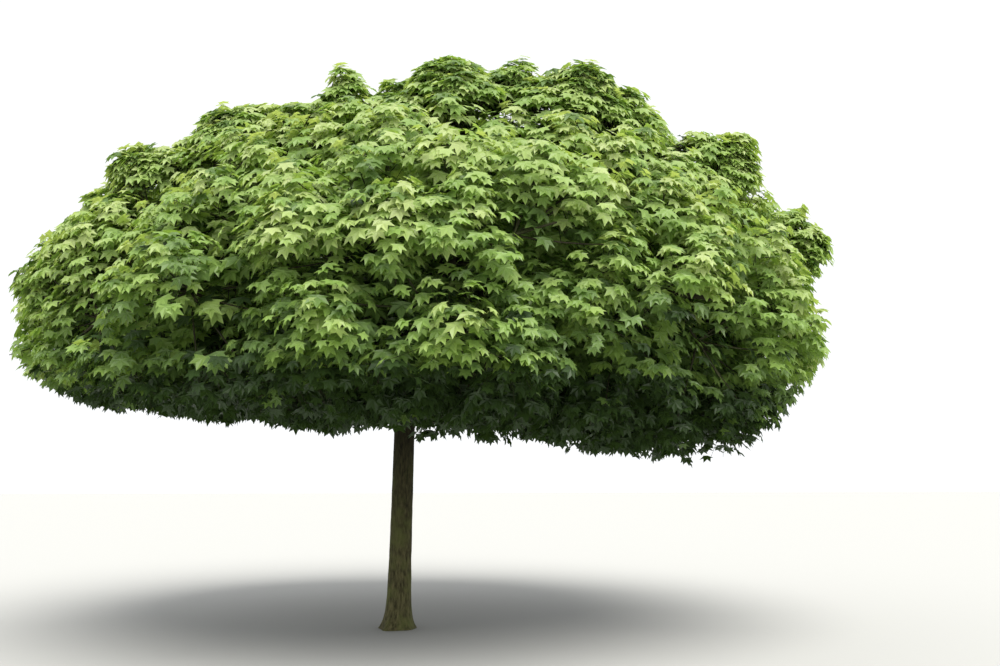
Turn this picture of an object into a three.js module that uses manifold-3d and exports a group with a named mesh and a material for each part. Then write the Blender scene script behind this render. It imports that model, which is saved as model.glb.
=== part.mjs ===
// Round-headed maple tree: a clear trunk, boughs that spring from a knuckle at its head, and a
// dense dome-shaped crown in fifteen masses of foliage. Millimetres, +Z up. The origin is on the
// flat cut of the trunk at ground level, and the tree is seen along +Y.
import * as THREE from "three";
import { mergeVertices } from "three/addons/utils/BufferGeometryUtils.js";
import Module from "manifold-3d";

const wasm = await Module();
wasm.setup();

// Driving sizes
const GAP = 0.3; // between a limb and what carries it
const SLIVER = 0.6; // detail under this is smoothed away where shapes cross
const TRUNK = {
  head: 2300, // height of the knuckle that the boughs spring from
  dome: 110, // how far the knuckle's round top rises above that
  lean: 0.022, // sideways shift towards +X for each millimetre of height
  waist: 104, // radius of the clean stem
  foot: 30, // how much wider the stem is low down
  footReach: 620, // height over which that width fades
  flare: 42, // how far the roots swell the stem at the ground
  flareReach: 90,
  knuckle: 20, // how far the knuckle swells past the stem
  knuckleReach: 130,
  sides: 20,
  rings: 13,
};
const ROOTS = [
  { azimuth: 238, swell: 58, width: 24 }, // the root that shows in front, to the left
  { azimuth: 165, swell: 30, width: 22 },
  { azimuth: 92, swell: 26, width: 26 },
  { azimuth: 20, swell: 24, width: 22 },
  { azimuth: 300, swell: 22, width: 24 },
];
const CROWN = {
  x: 265, // the crown's middle lies this far towards +X from the trunk
  z: 3150, // height of its widest ring
  reachX: 4000,
  reachY: 3940,
  rise: 2170, // from the widest ring to the top
  drop: 1225, // from the widest ring to the skirt
  tilt: 218, // how much lower the skirt hangs at tiltAzimuth, and higher across from it
  tiltAzimuth: -32,
  skew: 0.045, // how much the whole crown climbs for each millimetre towards +X
  lean: 0.066, // how far the crown's upper part stands towards +X for each millimetre of height
  peak: 1.887, // exponent of the dome: 2 would be an ellipsoid, and less is more pointed
  boxiness: 3.2, // exponent of the flat underside
  hollow: 0.72, // share of the reach that is left to the boughs
  heart: 0.42, // share of the reach within which the underside is open
  valley: 0.035, // how deep the furrows between the masses are, as a share of the reach
  valleyWidth: 200,
};
// Where a low bough weighs the skirt down: azimuth in degrees, distance from the crown's middle,
// how wide that place is, and how much lower it hangs.
const SAG = { azimuth: -23, radius: 3280, width: 1105, depth: 509 };
// Tufts of leading shoots that stand out of the dome: azimuth in degrees, distance from the
// crown's middle, how far they stand out, and how wide they are from their middle.
const TUFTS = [
  [-154, 3830, 140, 240],
  [-150, 3460, 160, 180],
  [-144, 3230, 200, 210],
  [-144, 3120, 260, 160],
  [-138, 2750, 80, 210],
  [-134, 2530, 230, 270],
  [-127, 2430, 120, 230],
  [-111, 2090, 310, 150],
  [-101, 1910, 190, 140],
  [-93, 1920, 220, 250],
  [-86, 1930, 310, 420],
  [-70, 2070, 340, 230],
  [-62, 2230, 270, 210],
  [-59, 2370, 390, 340],
  [-50, 2610, 240, 280],
  [-36, 3260, 130, 260],
  [-36, 3330, 320, 210],
  [-28, 3890, 130, 160],
];
// More of them around the rest of the crown, within these limits.
const MORE_TUFTS = {
  count: 15,
  from: -12,
  turn: 15,
  near: 900,
  far: 3800,
  stand: [120, 320],
  width: [180, 360],
};
const LIMB = { base: 42, tip: 21, sides: 7, steps: 4, clearance: 12 };
// Tiers of masses: the height is above or below the crown's widest ring.
const TIERS = [
  { name: "crown_top", count: 1, turn: 0, radius: 0, height: 2040, rise: 80 },
  { name: "crown_upper", count: 5, turn: -64, radius: 2440, height: 1340, rise: 60 },
  { name: "crown_lower", count: 9, turn: -88, radius: 3480, height: -130, rise: 36 },
];
const TIER_SWAY = { azimuth: 6, radius: 90, height: 90 };
const CELL_MARGIN = 12; // what a mass keeps clear of its neighbours' space
// The core of a mass is a cushion that lies in the dome.
const CORE = {
  level: 0.87,
  thickness: 0.07, // half of it, as a share of the crown's reach
  margin: 30, // what it keeps clear of the walls
  most: 2000, // from its middle to its rim
  fullness: 0.68, // under 1 makes its rim steeper
  roughness: 0.1, // share of its width that varies
  lumps: 0.5, // share of its thickness that varies
  detail: 2,
};
const SHOOT = {
  count: 96,
  crowding: 1.18, // over 1 puts more of them towards the top
  depth: 0.03, // how deep the tips lie under the surface, as a share of the reach
  inset: 330, // what they keep clear of the walls
  base: 17,
  tip: 9,
  sides: 3,
  steps: 1,
};
const LEAF = {
  length: 720,
  thickness: 0.016, // of its length
  droop: 0.16, // how far its lobes hang below its middle, as a share of its length
  sizes: [1, 0.84, 0.7, 0.56], // tried in turn until one fits its space
  swings: [0, 25, -25], // degrees, tried in turn too
  sunk: 22, // how far the stalk runs past its twig's middle
  lift: 4, // degrees that it stands out of the dome
  leaderLift: 38, // the same for the leaves of a leading shoot
};
const SPRAY = [0, 112, -112]; // how the leaves of a shoot are turned from downhill, in degrees
// Half of the five-lobed outline, from the tip round to the stalk: degrees from the leaf's own
// axis, and distance from its middle as a share of its length.
const LEAF_OUTLINE = [
  [0, 0.52],
  [25, 0.29],
  [50, 0.5],
  [80, 0.3],
  [112, 0.42],
  [152, 0.2],
  [180, 0.44],
];
const UP = new THREE.Vector3(0, 0, 1);
const DEG = Math.PI / 180;
const GOLDEN = Math.PI * (3 - Math.sqrt(5));

const barkMaterial = new THREE.MeshStandardMaterial({
  color: 0x4a4338,
  roughness: 0.95,
  metalness: 0,
});
const leafMaterial = new THREE.MeshStandardMaterial({
  color: 0x5c8a34,
  roughness: 0.6,
  metalness: 0,
});

// Small maths

const along = (point, direction, distance) => point.clone().addScaledVector(direction, distance);
const heading = (azimuth, rise) =>
  new THREE.Vector3(
    Math.cos(rise * DEG) * Math.cos(azimuth * DEG),
    Math.cos(rise * DEG) * Math.sin(azimuth * DEG),
    Math.sin(rise * DEG),
  );

// The same numbers between 0 and 1 on every run.
function seeded(seed) {
  let state = seed >>> 0;
  return () => {
    state = (state + 0x6d2b79f5) >>> 0;
    let t = Math.imul(state ^ (state >>> 15), 1 | state);
    t = (t + Math.imul(t ^ (t >>> 7), 61 | t)) ^ t;
    return ((t ^ (t >>> 14)) >>> 0) / 4294967296;
  };
}

// Degrees between two azimuths, 0 to 180.
const turnBetween = (a, b) => Math.abs(((((a - b) % 360) + 540) % 360) - 180);

// From geometry to solids

function solidOf(geometry) {
  const bare = new THREE.BufferGeometry().setAttribute("position", geometry.getAttribute("position"));
  const merged = mergeVertices(geometry.index ? bare.setIndex(geometry.index) : bare, 1e-3);
  return new wasm.Manifold(
    new wasm.Mesh({
      numProp: 3,
      vertProperties: new Float32Array(merged.getAttribute("position").array),
      triVerts: new Uint32Array(merged.index.array),
    }),
  );
}

function meshOf(name, solid, material) {
  const { vertProperties, triVerts } = solid.getMesh();
  const geometry = new THREE.BufferGeometry();
  geometry.setAttribute("position", new THREE.BufferAttribute(vertProperties, 3));
  geometry.setIndex(new THREE.BufferAttribute(triVerts, 1));
  geometry.computeVertexNormals();
  const mesh = new THREE.Mesh(geometry, material);
  mesh.name = name;
  return mesh;
}

// The largest body of a solid: loose scraps and sealed hollows are left behind.
const largestBody = (solid) =>
  solid.decompose().reduce((best, body) => (body.volume() > best.volume() ? body : best));

// Moves each vertex of a geometry with place(vertex).
function reshape(geometry, place) {
  const position = geometry.getAttribute("position");
  const vertex = new THREE.Vector3();
  for (let i = 0; i < position.count; i++) {
    place(vertex.fromBufferAttribute(position, i));
    position.setXYZ(i, vertex.x, vertex.y, vertex.z);
  }
  return geometry;
}

// A tapering round limb along the stretch of a curve between two of its parameters.
function taperedLimb(curve, { from = 0, to = 1, start, end, sides, steps }) {
  const chord = curve.getPoint(1).sub(curve.getPoint(0)).normalize();
  const across = Math.abs(chord.z) < 0.9 ? UP : new THREE.Vector3(1, 0, 0);
  const side = new THREE.Vector3();
  const other = new THREE.Vector3();
  const shape = new THREE.CylinderGeometry(1, 1, 1, sides, steps);
  return reshape(shape, (v) => {
    const share = v.y + 0.5;
    const t = from + (to - from) * share;
    const tangent = curve.getTangent(t);
    side.crossVectors(across, tangent).normalize();
    other.crossVectors(side, tangent);
    const radius = start + (end - start) * share;
    const { x, z } = v;
    v.copy(curve.getPoint(t)).addScaledVector(side, x * radius).addScaledVector(other, z * radius);
  });
}

// Trunk

const trunkRadius = (height) =>
  TRUNK.waist +
  TRUNK.foot * Math.exp(-height / TRUNK.footReach) +
  TRUNK.knuckle * Math.exp(-(((height - TRUNK.head) / TRUNK.knuckleReach) ** 2));

// How far the roots push the stem out, at a height and an azimuth in degrees.
function rootSwell(height, azimuth) {
  const fade = Math.exp(-height / TRUNK.flareReach);
  const swells = ROOTS.map((r) => r.swell * Math.exp(-((turnBetween(azimuth, r.azimuth) / r.width) ** 2)));
  return fade * (TRUNK.flare + swells.reduce((sum, s) => sum + s, 0));
}

// The trunk, with its skin moved outwards by grow.
function trunkSolid(grow = 0) {
  const profile = [new THREE.Vector2(0, 0)];
  for (let i = 0; i <= TRUNK.rings; i++) {
    const height = TRUNK.head * (i / TRUNK.rings) ** 1.6;
    profile.push(new THREE.Vector2(trunkRadius(height) + grow, height));
  }
  for (const angle of [35, 65]) {
    const level = TRUNK.head + (TRUNK.dome + grow) * Math.sin(angle * DEG);
    profile.push(new THREE.Vector2((trunkRadius(TRUNK.head) + grow) * Math.cos(angle * DEG), level));
  }
  profile.push(new THREE.Vector2(0, TRUNK.head + TRUNK.dome + grow));
  const shape = new THREE.LatheGeometry(profile, TRUNK.sides).rotateX(Math.PI / 2);
  reshape(shape, (v) => {
    const radius = Math.hypot(v.x, v.y);
    if (radius > 1) {
      const swell = rootSwell(v.z, Math.atan2(v.y, v.x) / DEG);
      v.x *= 1 + swell / radius;
      v.y *= 1 + swell / radius;
    }
    v.x += TRUNK.lean * v.z;
  });
  return solidOf(shape);
}

const trunkHead = new THREE.Vector3(TRUNK.lean * TRUNK.head, 0, TRUNK.head);

// Crown: its outer surface and the space of each mass

const crownCentre = new THREE.Vector3(CROWN.x, 0, CROWN.z);

// Under 1 inside the crown's plain outline, over 1 outside it.
function crownLevel(point) {
  const p = point.clone().sub(crownCentre);
  p.x -= CROWN.lean * p.z;
  p.z -= CROWN.skew * p.x;
  const ring = Math.hypot(p.x / CROWN.reachX, p.y / CROWN.reachY);
  const azimuth = Math.atan2(p.y, p.x) / DEG;
  const low = along(p, heading(SAG.azimuth, 0), -SAG.radius);
  const sag = SAG.depth * Math.exp(-((Math.hypot(low.x, low.y) / SAG.width) ** 2));
  const drop = CROWN.drop + CROWN.tilt * Math.cos((azimuth - CROWN.tiltAzimuth) * DEG) + sag;
  const [height, power] = p.z >= 0 ? [p.z / CROWN.rise, CROWN.peak] : [-p.z / drop, CROWN.boxiness];
  return (ring ** power + height ** power) ** (1 / power);
}

// The tufts listed above and the rest.
function allTufts() {
  const random = seeded(21);
  const between = ([low, high]) => low + random() * (high - low);
  const more = Array.from({ length: MORE_TUFTS.count }, (_, i) => [
    MORE_TUFTS.from + (i + (random() - 0.5) * 0.8) * MORE_TUFTS.turn,
    between([MORE_TUFTS.near, MORE_TUFTS.far]),
    between(MORE_TUFTS.stand),
    between(MORE_TUFTS.width),
  ]);
  return [...TUFTS, ...more].map(([azimuth, radius, stand, width]) => ({
    axis: along(crownCentre, heading(azimuth, 0), radius),
    stand,
    width,
  }));
}

const tufts = allTufts();

// How far the tufts lift the crown's surface out along the line through a point, as a share of
// its reach there. A tuft's foot is on the plain dome.
function tuftLift(point) {
  if (point.z < crownCentre.z) return 0;
  const foot = atLevel(point, 1);
  const lifts = tufts.map(({ axis, stand, width }) => {
    const away = Math.hypot(foot.x - axis.x, foot.y - axis.y);
    return stand * Math.exp(-((away / width) ** 2));
  });
  return Math.max(...lifts) / foot.distanceTo(crownCentre);
}

// Where each mass has its hub, by tier.
function massHubs() {
  const random = seeded(7);
  const sway = (size) => (random() * 2 - 1) * size;
  return TIERS.flatMap((tier) =>
    Array.from({ length: tier.count }, (_, i) => {
      const azimuth = tier.turn + (360 / tier.count) * i + sway(TIER_SWAY.azimuth);
      const radius = tier.radius && tier.radius + sway(TIER_SWAY.radius);
      const hub = along(crownCentre, heading(azimuth, 0), radius);
      hub.z += tier.height + sway(TIER_SWAY.height);
      const name = tier.count > 1 ? `${tier.name}_${i + 1}` : tier.name;
      return { name, tier, hub, azimuth };
    }),
  );
}

const masses = massHubs();

// How far a point is inside the flat walls between a mass and its neighbours.
function wallDistance(mass, point) {
  const own = point.distanceToSquared(mass.hub);
  const distances = masses
    .filter((other) => other !== mass)
    .map((other) => (point.distanceToSquared(other.hub) - own) / (2 * other.hub.distanceTo(mass.hub)));
  return Math.min(...distances);
}

// The level of the crown's surface over a point of a mass: it is furrowed along the walls and
// lifted by the tufts.
function surfaceLevel(mass, point) {
  const furrow = CROWN.valley * Math.exp(-((wallDistance(mass, point) / CROWN.valleyWidth) ** 2));
  return 1 - furrow + tuftLift(point);
}

// A point is in a mass's space if it is inside its walls and under the crown's surface, outside
// the hollow where the boughs run.
function inSpace(mass, point) {
  if (wallDistance(mass, point) < CELL_MARGIN) return false;
  const level = crownLevel(point);
  return level < surfaceLevel(mass, point) && level > CROWN.hollow;
}

// The point at a level on the line from the crown's middle through another point.
function atLevel(point, level) {
  const outward = point.clone().sub(crownCentre);
  return along(crownCentre, outward, level / crownLevel(point));
}

// The way the crown's surface faces at a point.
function facingAt(point) {
  const step = 1;
  const here = crownLevel(point);
  const slope = (x, y, z) => crownLevel(point.clone().add(new THREE.Vector3(x, y, z))) - here;
  return new THREE.Vector3(slope(step, 0, 0), slope(0, step, 0), slope(0, 0, step)).normalize();
}

const nearestMass = (point) =>
  masses.reduce((best, mass) =>
    point.distanceToSquared(mass.hub) < point.distanceToSquared(best.hub) ? mass : best,
  );

// Boughs: each runs from the knuckle to its mass, and its stem goes on to the hub

function limbCurve(mass) {
  const aim = Math.atan2(mass.hub.y - trunkHead.y, mass.hub.x - trunkHead.x) / DEG;
  const bend = heading(aim, mass.tier.rise);
  const length = trunkHead.distanceTo(mass.hub);
  return new THREE.QuadraticBezierCurve3(trunkHead, along(trunkHead, bend, length * 0.55), mass.hub);
}

const limbRadius = (t) => LIMB.base + (LIMB.tip - LIMB.base) * t;

// The parameter at which a limb enters its mass's space, where the bough ends.
function entryOf(mass) {
  const curve = limbCurve(mass);
  let t = 1;
  while (t > 0 && inSpace(mass, curve.getPoint(t))) t -= 0.01;
  return t + 0.02;
}

for (const mass of masses) mass.entry = entryOf(mass);

// How fast a limb's curve runs at its entry, in millimetres for each unit of its parameter.
function curveSpeed(mass) {
  const curve = limbCurve(mass);
  const small = 1e-3;
  return curve.getPoint(mass.entry + small).distanceTo(curve.getPoint(mass.entry)) / small;
}

// The stretch of a mass's limb between two parameters, with its skin moved outwards by grow.
const limbSolid = (mass, from, to, grow = 0) =>
  solidOf(
    taperedLimb(limbCurve(mass), {
      from,
      to,
      start: limbRadius(from) + grow,
      end: limbRadius(to) + grow,
      sides: LIMB.sides,
      steps: LIMB.steps,
    }),
  );

// Shoots: tips spread evenly over the crown, each on a twig from the stem of its mass

function shootTips() {
  const shoots = [];
  for (let i = 0; i < SHOOT.count; i++) {
    const z = 1 - 2 * ((i + 0.5) / SHOOT.count) ** SHOOT.crowding;
    const ring = Math.sqrt(1 - z * z);
    const outward = new THREE.Vector3(
      ring * Math.cos(i * GOLDEN) * CROWN.reachX,
      ring * Math.sin(i * GOLDEN) * CROWN.reachY,
      z * CROWN.rise,
    );
    const onSurface = atLevel(crownCentre.clone().add(outward), 1);
    const fromMiddle = Math.hypot(onSurface.x - CROWN.x, onSurface.y);
    if (z > 0 || fromMiddle > CROWN.heart * CROWN.reachX) shoots.push({ onSurface, leader: false });
  }
  for (const { axis } of tufts) {
    const share = Math.hypot(axis.x - CROWN.x, axis.y) / CROWN.reachX;
    const height = CROWN.rise * (1 - share ** CROWN.peak) ** (1 / CROWN.peak);
    shoots.push({ onSurface: axis.clone().setZ(CROWN.z + height), leader: true });
  }
  return shoots.map(({ onSurface, leader }, index) => {
    const mass = nearestMass(onSurface);
    const onTop = () => atLevel(onSurface, surfaceLevel(mass, onSurface) - SHOOT.depth);
    let tip = onTop();
    while (wallDistance(mass, tip) < SHOOT.inset) {
      onSurface.lerp(mass.hub, 0.04);
      tip = onTop();
    }
    return { index, mass, tip, leader };
  });
}

// A leaf from its stalk's root, its axis towards its tip, and the way its upper side faces.
function leafGeometry(root, axis, face, length) {
  const across = new THREE.Vector3().crossVectors(axis, face).normalize();
  const normal = new THREE.Vector3().crossVectors(across, axis).normalize();
  const middle = along(root, axis, length * LEAF_OUTLINE.at(-1)[1]);
  const otherHalf = LEAF_OUTLINE.slice(1, -1).reverse();
  const outline = [
    ...LEAF_OUTLINE,
    ...otherHalf.map(([turn, radius]) => [-turn, radius]),
  ].map(([turn, radius]) => {
    const point = along(middle, axis, Math.cos(turn * DEG) * radius * length);
    point.addScaledVector(across, Math.sin(turn * DEG) * radius * length);
    return point.addScaledVector(normal, -LEAF.droop * length * (radius / 0.5) ** 2);
  });
  const top = along(middle, normal, (LEAF.thickness * length) / 2);
  const bottom = along(middle, normal, (-LEAF.thickness * length) / 2);
  const points = [...outline, top, bottom];
  const faces = outline.flatMap((_, i) => {
    const next = (i + 1) % outline.length;
    return [next, i, outline.length, i, next, outline.length + 1];
  });
  return new THREE.BufferGeometry().setFromPoints(points).setIndex(faces);
}

// Where the leaves of a shoot may stand: each has its root on the twig, and the ways it may be
// turned, the best one first.
function leafPlaces(shoot, direction) {
  const random = seeded(1000 + shoot.index);
  const outward = facingAt(shoot.tip);
  const downhill = UP.clone().negate().projectOnPlane(outward);
  if (downhill.length() < 0.15) downhill.set(Math.cos(shoot.index), Math.sin(shoot.index), 0);
  downhill.projectOnPlane(outward).normalize();
  const lift = (shoot.leader ? LEAF.leaderLift : LEAF.lift) * DEG;
  return SPRAY.map((turn, i) => {
    const root = along(shoot.tip, direction, -SHOOT.tip * (2 + 3 * i));
    const sway = (random() * 2 - 1) * 14;
    return LEAF.swings.map((swing) => {
      const axis = downhill.clone().applyAxisAngle(outward, (turn + sway + swing) * DEG);
      axis.multiplyScalar(Math.cos(lift)).addScaledVector(outward, Math.sin(lift));
      return { axis, root: along(root, axis, -LEAF.sunk), face: outward };
    });
  });
}

// One mass: its stem, a core, and the shoots and leaves that stand out of it

// How far a mass runs from its hub along the dome, in a direction square to the surface there.
function reachAcross(mass, direction) {
  const step = 30;
  let distance = step;
  const clear = () => {
    const point = atLevel(along(mass.hub, direction, distance), CORE.level);
    return wallDistance(mass, point) > CORE.margin;
  };
  while (distance < CORE.most && clear()) distance += step;
  return distance - step;
}

function coreSolid(mass) {
  const random = seeded(300 + mass.azimuth * 10);
  const shape = new THREE.IcosahedronGeometry(1, CORE.detail);
  const facing = facingAt(mass.hub);
  const places = new Map();
  reshape(shape, (v) => {
    const key = [v.x, v.y, v.z].map((n) => n.toFixed(4)).join();
    if (!places.has(key)) {
      const rough = 1 - random() * CORE.roughness;
      const thickness = CORE.thickness * (1 - random() * CORE.lumps);
      const through = v.dot(facing);
      const across = v.clone().addScaledVector(facing, -through);
      const share = Math.min(1, across.length()) ** CORE.fullness;
      across.normalize();
      const rim = along(mass.hub, across, reachAcross(mass, across) * share * rough);
      places.set(key, atLevel(rim, CORE.level + through * thickness));
    }
    v.copy(places.get(key));
  });
  return solidOf(shape);
}

const touches = (a, b) => !a.intersect(b).isEmpty();

// The twig of a shoot, from a point on its mass's stem to the shoot's tip.
function twigCurve(shoot) {
  const { mass, index, tip } = shoot;
  const start = limbCurve(mass).getPoint(mass.entry + (1 - mass.entry) * (0.6 + 0.38 * seeded(index)()));
  return new THREE.LineCurve3(start, tip);
}

const cornersOf = (shape) => {
  const position = shape.getAttribute("position");
  const corner = (_, i) => new THREE.Vector3().fromBufferAttribute(position, i);
  return Array.from({ length: position.count }, corner);
};

// The first leaf of those tried that keeps to its mass's space and clear of the limbs.
function fittingLeaf(mass, ways, limbs) {
  for (const size of LEAF.sizes) {
    for (const { root, axis, face } of ways) {
      const shape = leafGeometry(root, axis, face, LEAF.length * size);
      if (!cornersOf(shape).every((corner) => inSpace(mass, corner))) continue;
      const leaf = solidOf(shape);
      if (!touches(leaf, limbs)) return leaf;
    }
  }
  return null;
}

function massSolid(mass, shoots, limbs) {
  let solid = coreSolid(mass).subtract(limbs);
  solid = solid.add(limbSolid(mass, mass.entry + GAP / curveSpeed(mass), 1));
  for (const shoot of shoots.filter((s) => s.mass === mass)) {
    const curve = twigCurve(shoot);
    const { base, tip, sides, steps } = SHOOT;
    const twig = solidOf(taperedLimb(curve, { start: base, end: tip, sides, steps }));
    if (touches(twig, limbs)) continue;
    solid = solid.add(twig);
    for (const ways of leafPlaces(shoot, curve.getTangent(1))) {
      const leaf = fittingLeaf(mass, ways, limbs);
      if (leaf) solid = solid.add(leaf);
    }
  }
  return largestBody(solid.simplify(SLIVER));
}

function buildTree() {
  const tree = new THREE.Group();
  tree.add(meshOf("trunk", trunkSolid(), barkMaterial));
  let taken = trunkSolid(GAP);
  let limbs = trunkSolid(LIMB.clearance);
  for (const mass of masses) {
    const bough = largestBody(limbSolid(mass, 0, mass.entry).subtract(taken));
    tree.add(meshOf(mass.name.replace("crown", "bough"), bough, barkMaterial));
    taken = taken.add(limbSolid(mass, 0, mass.entry, GAP));
    limbs = limbs.add(limbSolid(mass, 0, mass.entry, LIMB.clearance));
  }
  const shoots = shootTips();
  for (const mass of masses) tree.add(meshOf(mass.name, massSolid(mass, shoots, limbs), leafMaterial));
  return tree;
}

export default buildTree();
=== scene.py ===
"""Round-headed maple tree, dressed: bark with relief on the trunk and boughs, and a dense crown of
leafy sprays that grow on from the boughs by the same rule as the solids. Metres, +Z up."""
import math

import bpy
import numpy as np
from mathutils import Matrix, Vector, noise


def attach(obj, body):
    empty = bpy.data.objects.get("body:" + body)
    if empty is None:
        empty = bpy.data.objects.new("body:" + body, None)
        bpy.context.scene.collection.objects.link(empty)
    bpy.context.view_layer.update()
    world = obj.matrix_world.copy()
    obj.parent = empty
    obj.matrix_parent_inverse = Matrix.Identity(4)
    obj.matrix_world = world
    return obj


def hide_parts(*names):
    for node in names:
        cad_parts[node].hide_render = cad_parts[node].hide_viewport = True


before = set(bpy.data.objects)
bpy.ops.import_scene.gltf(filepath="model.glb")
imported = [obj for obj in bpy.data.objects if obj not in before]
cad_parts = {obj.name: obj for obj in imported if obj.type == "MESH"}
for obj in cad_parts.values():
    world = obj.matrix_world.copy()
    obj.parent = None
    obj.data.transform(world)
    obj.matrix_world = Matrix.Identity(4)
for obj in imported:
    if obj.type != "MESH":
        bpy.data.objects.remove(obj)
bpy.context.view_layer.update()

# Camera: where the photo was taken from, in metres and degrees, and its lens in millimetres
CAMERA = {"distance": 11.216, "height": 1.6, "pitch": 7.125, "yaw": -5.2585, "lens": 38.9, "sensor": 36}

# The trunk and the crown, as in the solids
TRUNK = {"head": 2.3, "dome": 0.11, "lean": 0.022, "waist": 0.104, "foot": 0.03, "foot_reach": 0.62,
         "flare": 0.042, "flare_reach": 0.09, "knuckle": 0.02, "knuckle_reach": 0.13}
ROOTS = [(238, 0.058, 24), (165, 0.030, 22), (92, 0.026, 26),
         (20, 0.024, 22), (300, 0.022, 24)]  # azimuth, swell, width
CROWN = {"x": 0.265, "z": 3.15, "reach_x": 4.0, "reach_y": 3.94, "rise": 2.17, "drop": 1.225,
         "tilt": 0.218, "tilt_azimuth": -32, "skew": 0.045, "lean": 0.066, "peak": 1.887, "boxiness": 3.2,
         "hollow": 0.72, "heart": 0.42, "valley": 0.035, "valley_width": 0.2}
SAG = {"azimuth": -23, "radius": 3.28, "width": 1.105, "depth": 0.509}
TIERS = [("crown_top", 1, 0, 0, 2.04, 80), ("crown_upper", 5, -64, 2.44, 1.34, 60),
         ("crown_lower", 9, -88, 3.48, -0.13, 36)]  # name, count, turn, radius, height, rise
TIER_SWAY = {"azimuth": 6, "radius": 0.09, "height": 0.09}
LIMB = {"base": 0.042, "tip": 0.021, "bend": 0.55}
TUFTS = [  # azimuth, radius, stand, width
    (-154, 3.83, 0.14, 0.24), (-150, 3.46, 0.16, 0.18), (-144, 3.23, 0.20, 0.21),
    (-144, 3.12, 0.26, 0.16), (-138, 2.75, 0.08, 0.21), (-134, 2.53, 0.23, 0.27),
    (-127, 2.43, 0.12, 0.23), (-111, 2.09, 0.31, 0.15), (-101, 1.91, 0.19, 0.14),
    (-93, 1.92, 0.22, 0.25), (-86, 1.93, 0.31, 0.42), (-70, 2.07, 0.34, 0.23),
    (-62, 2.23, 0.27, 0.21), (-59, 2.37, 0.39, 0.34), (-50, 2.61, 0.24, 0.28),
    (-36, 3.26, 0.13, 0.26), (-36, 3.33, 0.32, 0.21), (-28, 3.89, 0.13, 0.16),
]
MORE_TUFTS = {"count": 15, "from": -12, "turn": 15, "sway": 0.8, "near": 0.9, "far": 3.8,
              "stand": (0.12, 0.32), "width": (0.18, 0.36)}
SHOOTS = {"count": 96, "crowding": 1.18, "depth": 0.03, "inset": 0.33, "rounds": 12, "pull": 0.04,
          "first": 0.6, "spread": 0.38}
SEEDS = {"masses": 7, "tufts": 21, "leaves": 419}

# Bark relief: how fine its meshes are, and how many ridges it has and how deep
TRUNK_SKIN = {"sides": 128, "rings": 170, "crowding": 1.3, "dome_step": 8, "ridges": 26,
              "depth": 0.0024, "tuck": 0.002}
BOUGH_SKIN = {"sides": 20, "points": 60, "ridges": 34, "depth": 0.0016}
RELIEF = {"wander_scale": 2.2, "wander": 0.6, "wander_share": 0.02, "stretch": 0.2, "roughness": 0.8,
          "step": 2.1, "octaves": 4, "swell": 0.5, "swell_scale": 0.35}

# Finer growth. Of each kind of clump: how many and how crowded to the top, how wide, how far its rim
# droops, how deep it starts under the crown's surface, how many sprays it has, how long its leading
# twig is and how far its tips are held under the surface
CLUMPS = {"count": 560, "crowding": 1.06, "width": 0.29, "width_sway": 0.3, "droop": 0.72,
          "depth": 0.02, "depth_sway": 0.05, "sprays": 8, "stem": 0.34, "sunk": 0.033}
BIG_CLUMPS = {"count": 84, "crowding": 1.0, "width": 0.46, "width_sway": 0.15, "droop": 0.62,
              "depth": 0.02, "depth_sway": 0.01, "sprays": 20, "stem": 0.40, "sunk": 0.025}
# The boldest clumps stand a little proud, and their shade depth deals their leaves painted light
BOLD_CLUMPS = {**BIG_CLUMPS, "depth": -0.008, "shade_depth": -0.12, "sunk": -0.010}
DEEP_CLUMPS = {"count": 320, "crowding": 1.06, "width": 0.44, "width_sway": 0.2, "droop": 0.5,
               "depth": 0.15, "depth_sway": 0.05, "sprays": 7, "stem": 0.30, "sunk": 0.06}
HEART_CLUMPS = {"count": 150, "crowding": 1.0, "width": 0.6, "width_sway": 0.2, "droop": 0.4,
                "depth": 0.32, "depth_sway": 0.05, "sprays": 5, "stem": 0.20, "sunk": 0.22}
TUFT_CLUMPS = {"width": 0.16, "width_sway": 0.25, "droop": 0.8, "spacing": 0.12, "crowd": 2.2,
               "least": 4, "reach": 1.1, "depth": 0.025, "depth_range": (0.3, 1.0),
               "sprays": 6, "stem": 0.26, "sunk": 0.030}
CLUMP_SPREAD = {"jitter": 0.07, "deep": 0.1, "depth_span": 1.6, "depth_less": 0.2}
CLUMP_AXIS = {"outward": 0.75, "outward_in_tufts": 0.4, "upward": 0.62, "upward_on_top": 0.35,
              "upward_least": 0.2, "sway": 0.12}
SPRAYS = {"first": 0.4, "spread": (0.85, 1.1), "sway": 0.02, "stem": (0.55, 1.0), "fall": 0.5,
          "bare": 0.42}  # bare: the share of each spray before its first leaves
# Leaves along the clumps' stems are scored low: painted shade inside the clumps
STEMS = {"short": 0.05, "height": -1.2, "bare": 0.25}
# Leaves on the tufts' leading shoots are scored high and shallow: painted light
LEADERS = {"spacing": 0.085, "least": 2, "spread": 0.42, "length": 0.46, "length_range": (0.8, 1.15),
           "outward": 0.25, "sway": 0.10, "nodes": 5, "bare": 0.2, "sunk": 0.031, "sunk_sway": 0.03,
           "height": 0.75, "shade_depth": -0.03}
WAVES = {"across": 1.25, "up": 2.6, "depth": 0.05, "least": -0.3, "most": 1.2}  # slow waves in and out
HOLD = {"side": 0.25, "top": 1.7}  # how far tips are held in, at the crown's side and more on top
ENDS = {"proud": 0.018, "low_from": 3.0, "low_over": 0.6}  # how far leaves stand out at the crown's ends
OUTSTANDING = [(-87, 2.62, 0.52), (-95, 3.53, 0.46), (-88, 4.25, 0.44), (-71, 3.95, 0.44),
               (-107, 3.52, 0.42), (-58, 3.20, 0.42)]  # azimuth, height, width of the boldest clumps
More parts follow.
